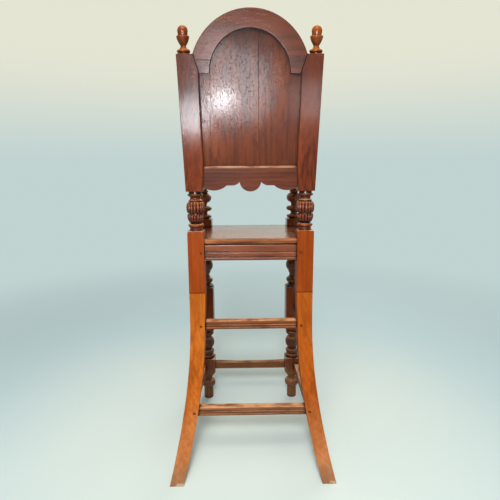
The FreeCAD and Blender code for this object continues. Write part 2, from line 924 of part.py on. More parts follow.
def seat_board():
    """The seat, notched round the four legs, and the pegs that hold it to the rails."""
    play = d.joint_play
    half = d.leg_x + d.seat_overhang
    rear_notch = d.leg_x - post_half - play
    front_notch = d.leg_x - front_half - play
    rear_edge = rear_y + d.seat_rear_reach
    front_edge = front_y - d.seat_front_reach
    left = [
        (rear_notch, rear_edge),
        (rear_notch, rear_y - post_half - play),
        (half, rear_y - post_half - play),
        (half, front_y + front_half + play),
        (front_notch, front_y + front_half + play),
        (front_notch, front_y - front_half - play),
        (half, front_y - front_half - play),
        (half, front_edge),
    ]
    right = [(-x, y) for x, y in reversed(left)]
    body = new_body("seat")
    outline = new_sketch(body, "XY_Plane", "seat_outline", rail_top)
    draw(outline, left + right)
    pad(body, outline, d.seat_thick)
    top, rear, front, side = d.seat_height.number, rear_edge.number, front_edge.number, half.number

    def worn_edge(box):
        level = box.ZLength < 0.01
        on_rear = box.YMin > rear - 0.01
        on_front = box.YMax < front + 0.01
        on_side = box.XMin > side - 0.01 or box.XMax < 0.01 - side
        return level and (on_rear or on_front or (on_side and box.ZMin > top - 0.01))

    fillet(body, d.seat_edge_round, worn_edge)
    spots = [
        (d.leg_x / 2, rear_y),
        (d.leg_x / 2, front_y),
        (side_seat_x, (front_y + rear_y) / 2),
    ]
    pins, holes = [], []
    for index, (x, y) in enumerate(spots):
        spot = (x, y, d.seat_height)
        pin, hole = peg(f"seat_peg_{index}", spot, DOWN, d.seat_peg_length)
        pins += [pin, mirror(pin)]
        holes.append(hole)
    keep("seat_board", cut(body, holes + [mirror(hole) for hole in holes]))
    group("seat_pegs", pins)
    return holes


def arms():
    """Flat arms with a rounded front end, tenoned to the rear posts and bored for the front legs."""
    nose = d.arm_front_width / 2
    tail = d.arm_rear_width / 2
    body = new_body("arm")
    place(body, d.leg_x, front_y, arm_bottom)
    outline = new_sketch(body, "XY_Plane", "arm_outline")
    draw(outline, [
        (tail, d.leg_pitch),
        (-tail, d.leg_pitch),
        (-nose, nose - d.arm_front_reach),
        (nose, nose - d.arm_front_reach, 0, -d.arm_front_reach),
    ])
    pad(body, outline, d.arm_thick)
    rear = d.leg_pitch.number
    fillet(body, d.arm_round, lambda box: box.YMin < rear - 0.01 and box.ZLength < 0.01)
    room = slab("arm_trim", rectangle(0, 2 * d.leg_x, -d.leg_x, d.leg_x), 2 * d.leg_x,
                d.leg_x - d.back_depth / 2)
    half, play = d.tenon_thick / 2, d.joint_play
    shoulder = d.tenon_shoulder / 2
    low, high = arm_bottom + shoulder, arm_bottom + d.arm_thick - shoulder
    start = rear_y - 2 * d.tenon_length
    tenon = block("arm_tenon", (d.leg_x - half, start, low), (d.leg_x + half, rear_y, high))
    mortise = block(
        "arm_mortise",
        (d.leg_x - half - play, start, low - play),
        (d.leg_x + half + play, rear_y + d.end_gap, high + play),
    )
    bore = rod("arm_bore", d.arm_stub_dia + 2 * play, d.arm_stub_length + d.end_gap,
               (d.leg_x, front_y, arm_bottom), (ACROSS, 0))
    spot = (post_out_foot + d.peg_proud, rear_y - d.tenon_length / 2, (low + high) / 2)
    pin, hole = peg("arm_peg", spot, INTO_SIDE)
    keep_pair("arm", cut(fuse(cut(body, [room]), tenon), [bore, hole]))
    group("arm_pegs", [pin, mirror(pin)])
    return [mortise, hole]


# Seat rails and stretchers, each with the mortises and peg holes that it asks of the legs

side_seat_x = d.leg_x + post_half - d.side_rail_inset - d.side_rail_thick / 2
side_rung_x = d.leg_x + front_half - d.side_rail_inset - d.side_rail_thick / 2
rear_face = rear_y + post_half
front_face = front_y - front_half


def seat_rails(seat_holes):
    """Four rails under the seat, on the legs' square blocks."""
    grooves = (d.seat_rail_groove_low, d.seat_rail_groove_high)
    height = d.seat_rail_height
    level = seat_rail_bottom + height / 2
    rear_hole, front_hole, side_hole = seat_holes
    pins = []
    rear_cuts, front_cuts = [], []

    spans = (
        ("rear", post_half, rear_y, 0, rear_face + d.peg_proud, INTO_BACK, rear_hole, rear_cuts),
        ("front", front_half, front_y, 180, front_face - d.peg_proud, INTO_FRONT, front_hole, front_cuts),
    )
    for name, half, y, turn, peg_y, heading, seat_hole, cuts in spans:
        stem = "seat_rail_" + name
        length = 2 * (d.leg_x - half)
        piece = rail(stem + "_bar", length, height, d.seat_rail_thick, *grooves)
        tenon, mortise = tenons(stem, length + 2 * d.tenon_length, height)
        for item in (piece, tenon, mortise):
            place(item, 0, y, seat_rail_bottom, turn)
        pin, hole = peg(stem + "_peg", (d.leg_x - half + peg_inset, peg_y, level), heading)
        holes = [hole, mirror(hole), seat_hole, mirror(seat_hole)]
        keep(stem, cut(fuse(piece, tenon), holes))
        pins += [pin, mirror(pin)]
        cuts += [mortise, hole]

    stem = "seat_rail_side"
    start, end = front_y + front_half, rear_y - post_half
    piece = rail(stem + "_bar", end - start, height, d.side_rail_thick, *grooves)
    tenon, mortise = tenons(stem, end - start + 2 * d.tenon_length, height)
    for item in (piece, tenon, mortise):
        place(item, side_seat_x, (start + end) / 2, seat_rail_bottom, -90)
    ends = (
        ("front", d.leg_x + front_half, start - peg_inset, front_cuts),
        ("rear", d.leg_x + post_half, end + peg_inset, rear_cuts),
    )
    holes = [side_hole]
    for name, face, y, cuts in ends:
        spot = (face + d.peg_proud, y, level - d.peg_stagger)
        pin, hole = peg(f"{stem}_{name}_peg", spot, INTO_SIDE)
        pins += [pin, mirror(pin)]
        holes.append(hole)
        cuts += [mortise, hole]
    keep_pair(stem, cut(fuse(piece, tenon), holes))
    group("seat_rail_pegs", pins)
    return rear_cuts, front_cuts


def rear_stretchers():
    """Two moulded stretchers between the rear legs."""
    pins, cuts = [], []
    leg_room = leg_back_cut("rear_stretcher_scribe", d.joint_play)
    shank = d.leg_x - post_half + d.shank_taper
    levels = (
        ("upper", rear_upper_bottom, shank),
        ("lower", d.rear_lower_bottom, leg_inner(d.rear_lower_bottom + d.stretcher_height / 2)),
    )
    for name, bottom, inner in levels:
        stem = "rear_stretcher_" + name
        level = bottom + d.stretcher_height / 2
        reach = 2 * (inner + d.tenon_length)
        piece = rail(stem + "_bar", reach, d.stretcher_height, d.stretcher_thick,
                     d.stretcher_groove_low, d.stretcher_groove_high)
        tenon, mortise = tenons(stem, reach, d.stretcher_height)
        for item in (piece, tenon, mortise):
            place(item, 0, (leg_back(level) + leg_front(level)) / 2, bottom)
        spot = (inner + peg_inset, leg_back(level) + 2 * d.peg_proud, level)
        pin, hole = peg(stem + "_peg", spot, INTO_BACK)
        scribed = cut(piece, [leg_room, mirror(leg_room)])
        keep(stem, cut(fuse(scribed, tenon), [hole, mirror(hole)]))
        pins += [pin, mirror(pin)]
        cuts += [mortise, hole]
    return pins, cuts


def side_stretchers():
    """Two moulded stretchers on each side, from the front blocks to the swept rear legs."""
    pins, rear_cuts, front_cuts = [], [], []
    leg_room = leg_side_cut("side_stretcher_scribe", d.joint_play)
    start = front_y + front_half
    front_room = block("front_leg_room", (d.leg_x - front_half, front_face, 0),
                       (d.leg_x + front_half, start, d.seat_height))
    half = d.stretcher_height / 2
    upper_level = side_upper_bottom + half
    lower_level = d.side_lower_bottom + half
    flush_x = leg_outer(upper_level) - d.side_rail_inset - d.side_rail_thick / 2
    middle_x = (leg_outer(lower_level) + leg_inner(lower_level)) / 2
    levels = (
        ("upper", side_upper_bottom, upper_level, flush_x),
        ("lower", d.side_lower_bottom, lower_level, middle_x),
    )
    for name, bottom, level, rear_x in levels:
        stem = "side_stretcher_" + name
        run = leg_front(level) - start
        shift = rear_x - side_rung_x
        length = root(run * run + shift * shift)
        reach = length + 2 * d.tenon_length
        piece = rail(stem + "_bar", reach, d.stretcher_height, d.side_rail_thick,
                     d.stretcher_groove_low, d.stretcher_groove_high)
        tenon, mortise = tenons(stem, reach, d.stretcher_height)
        turn = -90 - slope_angle(shift, run)
        for item in (piece, tenon, mortise):
            place(item, (side_rung_x + rear_x) / 2, start + run / 2, bottom, turn)
        front_spot = (d.leg_x + front_half + d.peg_proud, start - peg_inset, level)
        rear_spot = (leg_outer(level) + 2 * d.peg_proud, leg_front(level) + peg_inset, level)
        front_pin, front_hole = peg(stem + "_front_peg", front_spot, INTO_SIDE)
        rear_pin, rear_hole = peg(stem + "_rear_peg", rear_spot, INTO_SIDE)
        scribed = cut(piece, [leg_room, front_room])
        keep_pair(stem, cut(fuse(scribed, tenon), [front_hole, rear_hole]))
        for pin in (front_pin, rear_pin):
            pins += [pin, mirror(pin)]
        rear_cuts += [mortise, rear_hole]
        front_cuts += [mortise, front_hole]
    return pins, rear_cuts, front_cuts


def front_stretcher():
    """The low stretcher in front, its top worn hollow by feet."""
    stem = "front_stretcher"
    half = d.leg_x - front_half
    height = d.front_lower_height
    level = d.front_lower_bottom + height / 2
    piece = new_body(stem + "_bar")
    outline = new_sketch(piece, "XZ_Plane", stem + "_outline")
    draw(outline, [
        (-half, 0),
        (half, 0),
        (half, height),
        (-half, height, 0, height - d.front_wear),
    ])
    pad(piece, outline, d.front_lower_thick, symmetric=True)
    tenon, mortise = tenons(stem, 2 * (half + d.tenon_length), height)
    for item in (piece, tenon, mortise):
        place(item, 0, front_y, d.front_lower_bottom)
    spot = (half + peg_inset, front_y + front_half + d.peg_proud, level)
    pin, hole = peg(stem + "_peg", spot, INTO_BACK)
    keep(stem, cut(fuse(piece, tenon), [hole, mirror(hole)]))
    return [pin, mirror(pin)], [mortise, hole]


# Legs and posts

def splice_dowels():
    """Hidden dowels that hold the rear legs to the posts, and the hole for one of them."""
    bottom = splice_height - d.splice_dowel_length / 2
    pin = rod("splice_dowel", d.splice_dowel_dia, d.splice_dowel_length,
              (d.leg_x, rear_y, bottom), (ACROSS, 0))
    hole = rod("splice_hole", d.splice_dowel_dia + 2 * d.joint_play,
               d.splice_dowel_length + 2 * d.end_gap,
               (d.leg_x, rear_y, bottom - d.end_gap), (ACROSS, 0))
    group("splice_dowels", [pin, mirror(pin)])
    return hole


def rear_posts(cuts):
    """Rear posts above the splice: square block, gadrooned cup and cover, raked upper block."""
    lower = new_body("rear_post")
    place(lower, d.leg_x, rear_y, 0)
    square_block(lower, "post_block", d.post_side, splice_height, post_block_top,
                 None, d.block_shoulder)
    turned_stretch(lower, "post", post_block_top, pivot_z)
    levels = turned_levels("post", post_block_top, pivot_z)
    names = [moulding[0] for moulding in TURNINGS["post"]]
    cover_low, cover_high = levels[names.index("post_cover")]
    cup_low, cup_high = levels[names.index("post_cup")]
    lobes(lower, "cover_lobe", (cover_low + cover_high) / 2, cover_high - cover_low,
          d.cover_lobe_centre, d.cover_lobe_radial, d.cover_lobe_across, 0)
    lobes(lower, "cup_lobe", (cup_low + cup_high) / 2, cup_high - cup_low,
          d.cup_lobe_centre, d.cup_lobe_radial, d.cup_lobe_across, d.cup_lobe_tilt)
    sunk = -d.back_depth / 2
    upper = slab("post_upper", [
        (post_in_foot, sunk),
        (post_out_foot, sunk),
        (post_out_top, d.post_top_height),
        (crest_corner, d.post_top_height),
        (post_in_spring, d.spring_height),
        (post_in_ledge, d.ledge_height),
        (post_in_foot, 0),
    ], d.back_depth, as_size(0))
    face, ledge, spring = (value.number for value in (d.back_depth / 2, d.ledge_height, d.spring_height))

    def inner_arris(box):
        between = box.ZMin > ledge - 0.01 and box.ZMax < spring + 0.01
        return between and box.YMin > face - 0.01

    chamfer(upper, d.post_chamfer, inner_arris)
    trim = block("post_trim", (0, rear_y - d.back_depth, pivot_z - d.back_depth),
                 (2 * d.leg_x, rear_y + d.back_depth, pivot_z))
    keep_pair("rear_post", cut(fuse(lower, cut(upper, [trim])), cuts))


def front_legs(cuts):
    """Front legs turned between square blocks, carried on up to hold the arms."""
    body = new_body("front_leg")
    place(body, d.leg_x, front_y, 0)
    upper_block_top = d.seat_height + d.upper_block_rise
    side, shoulder = d.front_side, d.block_shoulder
    turned_stretch(body, "foot", as_size(0), d.foot_turn_height)
    square_block(body, "lower_block", side, d.foot_turn_height, lower_block_top,
                 d.foot_shoulder, shoulder, d.foot_neck_dia / 2)
    turned_stretch(body, "lower", lower_block_top, mid_block_bottom)
    square_block(body, "mid_block", side, mid_block_bottom, mid_block_top, shoulder, shoulder)
    turned_stretch(body, "upper", mid_block_top, upper_block_bottom)
    square_block(body, "upper_block", side, upper_block_bottom, upper_block_top, shoulder, shoulder)
    turned_stretch(body, "stump", upper_block_top, arm_bottom)
    stub = new_sketch(body, "XZ_Plane", "arm_stub")
    half = d.arm_stub_dia / 2
    draw(stub, rectangle(0, half, arm_bottom, arm_bottom + d.arm_stub_length))
    revolve(body, stub)
    keep_pair("front_leg", cut(body, cuts))


def build():
    """Make every sub-part, the ones that ask for mortises before the legs that hold them."""
    panel_room = panel_blank("panel_room", d.joint_play)
    back_panel()
    crest_mortise = crest(panel_room)
    apron_cuts = apron(panel_room)
    finial_hole = finials()
    arm_cuts = arms()
    seat_holes = seat_board()
    seat_rear_cuts, seat_front_cuts = seat_rails(seat_holes)
    rear_pins, rear_cuts = rear_stretchers()
    side_pins, side_rear_cuts, side_front_cuts = side_stretchers()
    front_pins, front_cuts = front_stretcher()
    group("stretcher_pegs", rear_pins + side_pins + front_pins)
    splice_hole = splice_dowels()
    rear_legs(rear_cuts + side_rear_cuts + [splice_hole])
    back_cuts = [panel_room, crest_mortise, finial_hole] + apron_cuts + arm_cuts
    rear_posts(seat_rear_cuts + back_cuts + [splice_hole])
    front_legs(seat_front_cuts + side_front_cuts + front_cuts)
    doc.recompute()


def check():
    """Stop if any object failed or any sub-part isn't a sound solid."""
    for item in doc.Objects:
        if "Invalid" in item.State or "Error" in item.State:
            raise RuntimeError(f"{item.Name} failed: {item.State}")
    for label, item in nodes.items():
        shape = item.Shape
        if shape.isNull() or not shape.isValid() or not shape.Solids:
            raise RuntimeError(f"{label} has no sound shape")


def export():
    os.makedirs("parts", exist_ok=True)
    for label, item in nodes.items():
        item.Shape.exportStep(f"parts/{label}.step")
        print(f"{label}: {len(item.Shape.Solids)} solids, {item.Shape.Volume / 1000:.1f} cm3")


build()
check()
export()
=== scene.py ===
import bpy
import math
from mathutils import Euler, Matrix, Vector
from typing import NamedTuple

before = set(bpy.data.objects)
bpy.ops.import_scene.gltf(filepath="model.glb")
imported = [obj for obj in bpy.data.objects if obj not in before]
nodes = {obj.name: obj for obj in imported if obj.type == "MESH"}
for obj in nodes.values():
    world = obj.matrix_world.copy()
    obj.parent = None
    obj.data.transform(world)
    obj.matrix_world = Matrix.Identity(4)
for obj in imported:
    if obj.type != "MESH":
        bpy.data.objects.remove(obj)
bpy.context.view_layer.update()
scene = bpy.context.scene
scene.view_settings.view_transform = "Standard"

# The way the grain runs, as the turn in degrees that lays it along Z
GRAIN_UP = (0, 0, 0)
GRAIN_ACROSS = (0, -90, 0)
GRAIN_DEEP = (90, 0, 0)
GRAIN_RAKED = (10, 0, 0)

# How often each pattern of the oak repeats in a metre
# Three numbers are two ways across the grain, then along it
BROAD_RATE = (11, 11, 5)
STREAK_RATE = (150, 150, 6)
BAND_RATE = (36, 36, 4)
PATCH_RATE = (70, 70, 26)
PLANE_RATE = (48, 48, 17)
PORE_RATE = 900
RING_RATE = 42.0
KNOCK_RATE = 46.0

# How far in metres the patterns may be moved, by each piece's own share, so that no two are alike
PIECE_SHIFT = (2.3, 4.1, 1.9)

# The part of a pattern over which its mark comes in
STREAK_RANGE = (0.32, 0.66)
BLOTCH_RANGE = (0.42, 0.68)
BAND_RANGE = (0.48, 0.68)
MOTTLE_RANGE = (0.5, 0.68)
PORE_RANGE = (0.58, 0.72)
KNOCK_RANGE = (0.1, 0.04)
CHIP_RANGE = (0.46, 0.56)
GLOSS_RANGE = (0.3, 0.7)

# Share of the cells of the face that have no knock
UNKNOCKED = 0.8

# How much smoother and rougher than its gloss the wood is in places, and how much rougher in its pores
GLOSS_STEPS = (-0.05, 0.07)
PORE_DULLING = 0.25

# How far in metres an arris reaches, and how far a hollow reaches for its painted shade and for keeping
# wear out
ARRIS_REACH = 0.0018
HOLLOW_REACH = 0.009

# Where wear comes in: by bend and tilt of the face, by patches and by open air; on upward faces it is
# also a painted highlight
ARRIS_BEND = (0.01, 0.1)
ARRIS_PATCH = (0.34, 0.58)
TOP_TILT = (0.3, 0.85)
TOP_PATCH = (0.3, 0.6)
WEAR_OPEN = (0.5, 0.85)

# How dark each mark is, as a share of the dark streak, and how much of a knock or a seam is dirt
BAND_DEPTH = 0.7
PORE_DEPTH = 0.3
GRIME_DEPTH = 0.25
KNOCK_DIRT = 0.6
SEAM_DIRT = 0.8

# Distances in metres: from a seam to where wear begins and dirt ends, and from the floor to whole wood
SEAM_CLEAR = (0.002, 0.006)
SEAM_EDGE = (0.0018, 0.0006)
CHIP_RISE = (0.006, 0.002)

# Relief: heights in metres, and how strongly the plane's marks and the streaks show
PLANE_HEIGHT = 0.001
PLANE_STRENGTH = 0.22
PORE_HEIGHT = 0.0004
STREAK_RELIEF = 0.6

# Tones of the oak: dark streak, ground and pale patch
# The rear legs' tones: the left leg's lighter as painted light, the right leg's darker as painted shade
AMBER_LIT = ((0.345, 0.076, 0.009), (0.56, 0.142, 0.015), (0.68, 0.192, 0.026))
ORANGE_SHADED = ((0.247, 0.046, 0.005), (0.414, 0.086, 0.008), (0.519, 0.123, 0.014))
RUSSET = ((0.234, 0.036, 0.003), (0.364, 0.062, 0.003), (0.442, 0.091, 0.005))
FADED = ((0.383, 0.122, 0.036), (0.502, 0.186, 0.064), (0.598, 0.252, 0.106))
SCUFFED = ((0.235, 0.09, 0.042), (0.31, 0.135, 0.065), (0.39, 0.19, 0.093))
MAHOGANY = ((0.078, 0.013, 0.004), (0.215, 0.035, 0.007), (0.273, 0.052, 0.009))
UMBER = ((0.058, 0.013, 0.006), (0.123, 0.022, 0.007), (0.165, 0.033, 0.009))
BULB = ((0.14, 0.022, 0.004), (0.28, 0.05, 0.007), (0.37, 0.08, 0.012))
# Painted shade on the lower part of each lobe of the bulbs, and a painted highlight on their tops
BULB_SHADED = ((0.094, 0.015, 0.003), (0.172, 0.027, 0.004), (0.25, 0.044, 0.007))
BULB_LIT_CAP = ((0.208, 0.052, 0.01), (0.364, 0.098, 0.018), (0.468, 0.143, 0.029))
CHESTNUT = ((0.156, 0.029, 0.005), (0.325, 0.068, 0.012), (0.442, 0.111, 0.021))
ARCH = ((0.058, 0.013, 0.005), (0.13, 0.027, 0.009), (0.169, 0.039, 0.013))
APRON = ((0.072, 0.016, 0.007), (0.176, 0.038, 0.012), (0.227, 0.055, 0.017))
PANEL = ((0.095, 0.019, 0.005), (0.168, 0.032, 0.007), (0.28, 0.062, 0.01))
PANEL_HIGH = ((0.052, 0.012, 0.005), (0.104, 0.021, 0.007), (0.156, 0.034, 0.009))
RAIL = ((0.085, 0.021, 0.006), (0.275, 0.076, 0.024), (0.36, 0.112, 0.04))
RAIL_LOW = ((0.12, 0.037, 0.013), (0.37, 0.138, 0.056), (0.49, 0.2, 0.088))
SEAT_RAIL = ((0.078, 0.017, 0.005), (0.227, 0.052, 0.017), (0.299, 0.081, 0.029))
# The seat's rounded nose: paler as wear and as a painted highlight
NOSE_WEAR_AND_HIGHLIGHT = ((0.09, 0.022, 0.008), (0.42, 0.15, 0.055), (0.66, 0.28, 0.12))
SEAT = ((0.117, 0.029, 0.008), (0.234, 0.06, 0.017), (0.325, 0.098, 0.031))
BROWN = ((0.075, 0.014, 0.004), (0.139, 0.03, 0.007), (0.213, 0.052, 0.012))
DUSTY = ((0.098, 0.034, 0.013), (0.172, 0.062, 0.024), (0.233, 0.092, 0.036))
HONEY = ((0.125, 0.021, 0.002), (0.262, 0.05, 0.003), (0.399, 0.095, 0.007))
PEG = ((0.104, 0.021, 0.004), (0.208, 0.044, 0.007), (0.286, 0.072, 0.013))

# Colours of wear, which on upper faces also paint a highlight, and of bare wood
PALE_WEAR_AND_HIGHLIGHT = (0.806, 0.429, 0.208)
GREY_WEAR_AND_HIGHLIGHT = (0.65, 0.429, 0.273)
GOLD_WEAR_AND_HIGHLIGHT = (0.78, 0.39, 0.143)
DARK_WEAR = (0.039, 0.016, 0.008)
BARE_WOOD = (0.5, 0.38, 0.26)

# Heights in metres at which one tone or polish gives way to another
SCUFF = 0.03
FADE = 0.1
DUST_TOP = 0.11
RAIL_DUST = 0.22
SPLICE = 0.415
SEAT_NOSE_FOOT = 0.537
SEAT_TOP = 0.548
POST_BLOCK_TOP = 0.567
CUP_FOOT = 0.588
CUP_MIDDLE = 0.601
COVER_FOOT = 0.611
COVER_MIDDLE = 0.622
COVER_TOP = 0.633
COVER_NECK = 0.639
POST_FOOT = 0.661
POST_BRIGHT = 0.76
PANEL_BRIGHT = 0.79
POST_DARK = 0.82
PANEL_DARK = 0.9

# Polish of wood that has none, and of the turned bulbs
DULL = 0.0
BULB_POLISH = 0.42

# Widths of the softened arrises in metres
LEG_ARRIS = 0.0012
ARM_ARRIS = 0.001
BACK_ARRIS = 0.0009
SEAT_ARRIS = 0.0008
RAIL_ARRIS = 0.0007

# The least angle in degrees that is softened, and the reach in metres within which points are joined
ARRIS_ANGLE = 40
WELD_REACH = 1e-5

# The floor's paper near the chair, paler as a painted pool of light, further off, darker as painted
# shade, and in its clouds
PAPER_LIT_NEAR = (0.65, 0.75, 0.71)
PAPER_SHADED_FAR = (0.52, 0.68, 0.72)
PAPER_CLOUD = (0.58, 0.72, 0.73)

# The pale surround near the floor and higher up, and the soft light from below and above
HAZE = (0.53, 0.65, 0.64)
CREAM = (0.78, 0.78, 0.65)
LIGHT_BELOW = (0.085, 0.1, 0.11)
LIGHT_ABOVE = (0.31, 0.315, 0.315)

# Colours of the lamps
SUNNY = (1.0, 0.9, 0.78)
WARM = (1.0, 0.92, 0.82)
COOL = (0.9, 0.95, 1.0)


# Materials

class Graph:
    """The node tree of a material or the world, with short ways to add and join nodes."""

    def __init__(self, owner):
        owner.use_nodes = True
        self.owner = owner
        self.tree = owner.node_tree

    def add(self, kind, inputs=None, **settings):
        node = self.tree.nodes.new("ShaderNode" + kind)
        for key, value in settings.items():
            setattr(node, key, value)
        for key, value in (inputs or {}).items():
            self.feed(node.inputs[key], value)
        return node

    def feed(self, socket, value):
        """Link an input to another node's output, or set its value; a colour gets its alpha here."""
        if isinstance(value, bpy.types.NodeSocket):
            self.tree.links.new(value, socket)
        elif socket.type == "RGBA":
            socket.default_value = (*value, 1.0)
        else:
            socket.default_value = value

    def math(self, operation, first, second=0.0, clamp=False):
        node = self.add("Math", {0: first, 1: second}, operation=operation, use_clamp=clamp)
        return node.outputs[0]

    def times(self, first, second):
        return self.math("MULTIPLY", first, second)

    def vector(self, operation, first, second=(0, 0, 0), output=0):
        node = self.add("VectorMath", {0: first, 1: second}, operation=operation)
        return node.outputs[output]

    def span(self, value, low, high, to_low=0.0, to_high=1.0):
        """Spread a value from one range to another, smoothly and without leaving it."""
        inputs = {"Value": value, "From Min": low, "From Max": high, "To Min": to_low, "To Max": to_high}
        return self.add("MapRange", inputs, interpolation_type="SMOOTHSTEP").outputs["Result"]

    def mix(self, share, first, second, blend="MIX"):
        """Mix two colours, with that share of the second."""
        node = self.add("Mix", data_type="RGBA", blend_type=blend)
        values = {"Factor_Float": share, "A_Color": first, "B_Color": second}
        for socket in node.inputs:
            if socket.identifier in values:
                self.feed(socket, values[socket.identifier])
        return next(socket for socket in node.outputs if socket.identifier == "Result_Color")

    def noise(self, vector, scale=1.0, detail=2.0, rough=0.5):
        inputs = {"Vector": vector, "Scale": scale, "Detail": detail, "Roughness": rough}
        return self.add("TexNoise", inputs).outputs["Fac"]

    def seen(self):
        """1 for rays from the camera or a mirror, 0 for those that light other things."""
        rays = self.add("LightPath").outputs
        mirrored = self.math("ADD", rays["Is Glossy Ray"], rays["Is Transmission Ray"])
        return self.math("ADD", rays["Is Camera Ray"], mirrored, clamp=True)


class Oak(Graph):
    """A material with the patterns of oak, which run along the grain."""

    def __init__(self, name, grain, pore_size, pore_run):
        super().__init__(bpy.data.materials.new(name))
        place = self.add("TexCoord").outputs["Object"]
        turn = [math.radians(angle) for angle in grain]
        shift = self.vector("SCALE", PIECE_SHIFT)
        self.feed(shift.node.inputs["Scale"], self.add("ObjectInfo").outputs["Random"])
        self.height = self.add("SeparateXYZ", {"Vector": place}).outputs["Z"]
        self.laid = self.add("Mapping", {"Vector": place, "Rotation": turn}).outputs["Vector"]
        self.along = self.vector("ADD", self.laid, shift)

        pore_rate = PORE_RATE / pore_size
        pores = self.pattern((pore_rate, pore_rate, pore_rate / pore_run), rough=0.6)
        self.pits = self.span(pores, *PORE_RANGE)
        self.broad = self.pattern(BROAD_RATE, detail=3.0)
        self.streak = self.pattern(STREAK_RATE, detail=5.0, rough=0.62)
        self.band = self.pattern(BAND_RATE)
        self.patchy = self.pattern(PATCH_RATE, detail=3.0)
        self.planed = self.pattern(PLANE_RATE)
        self.knock = self.knocks()
        self.soft = self.add("Bevel", {"Radius": ARRIS_REACH}, samples=6).outputs["Normal"]
        self.open_air = self.add("AmbientOcclusion", {"Distance": HOLLOW_REACH}, samples=8).outputs["AO"]

    def pattern(self, rate, detail=2.0, rough=0.5):
        return self.noise(self.vector("MULTIPLY", self.along, rate), detail=detail, rough=rough)

    def rings(self):
        """Growth rings, a little wavy."""
        inputs = {
            "Vector": self.along,
            "Scale": RING_RATE,
            "Distortion": 6.0,
            "Detail": 2.0,
            "Detail Scale": 0.3,
        }
        return self.add("TexWave", inputs, wave_type="RINGS", rings_direction="Z").outputs["Fac"]

    def knocks(self):
        """Small dents left by knocks, in a few of the cells that the face is divided into."""
        cells = self.add("TexVoronoi", {"Vector": self.laid, "Scale": KNOCK_RATE}).outputs
        dent = self.span(cells["Distance"], *KNOCK_RANGE)
        lot = self.add("SeparateColor", {"Color": cells["Color"]}).outputs["Red"]
        return self.times(dent, self.math("GREATER_THAN", lot, UNKNOCKED))

    def wear_and_highlight(self, wear, top_wear_and_highlight):
        """Wear on arrises from hands and feet, and wear with a painted highlight on upper faces, but not
        down in the hollows.
        """
        face = self.add("NewGeometry").outputs["Normal"]
        bend = self.math("SUBTRACT", 1.0, self.vector("DOT_PRODUCT", face, self.soft, "Value"))
        upward = self.add("SeparateXYZ", {"Vector": self.soft}).outputs["Z"]
        arris_patch = self.span(self.patchy, *ARRIS_PATCH, 0.0, wear)
        top_patch = self.span(self.patchy, *TOP_PATCH, 0.0, top_wear_and_highlight)
        arrises = self.times(self.span(bend, *ARRIS_BEND), arris_patch)
        # Upper faces: wear and a painted highlight, lighter the more the face turns up
        tops_worn_and_lit = self.times(self.span(upward, *TOP_TILT), top_patch)
        both = self.math("ADD", arrises, tops_worn_and_lit, clamp=True)
        return self.times(both, self.span(self.open_air, *WEAR_OPEN))

    def relief(self, pore, pore_size):
        """A face that the plane, the streaks, the pores and knocks have left uneven."""
        inputs = {
            "Height": self.planed,
            "Distance": PLANE_HEIGHT,
            "Strength": PLANE_STRENGTH,
            "Normal": self.soft,
        }
        planed = self.add("Bump", inputs).outputs["Normal"]
        rise = self.math("SUBTRACT", self.times(self.streak, STREAK_RELIEF), self.pits)
        inputs = {
            "Height": self.math("SUBTRACT", rise, self.knock),
            "Distance": PORE_HEIGHT * pore_size,
            "Strength": pore,
            "Normal": planed,
        }
        return self.add("Bump", inputs).outputs["Normal"]


class Zone(NamedTuple):
    """A stretch of a piece, from its foot up to the next zone's."""
    foot: float
    blend: float  # half the height over which it takes over from the zone below
    tones: tuple
    polish: float


def whole(tones, polish):
    """The lowest zone of a piece, or its only one."""
    return [Zone(0.0, 0.0, tones, polish)]


def darker(colour, share):
    return tuple(value * share for value in colour)


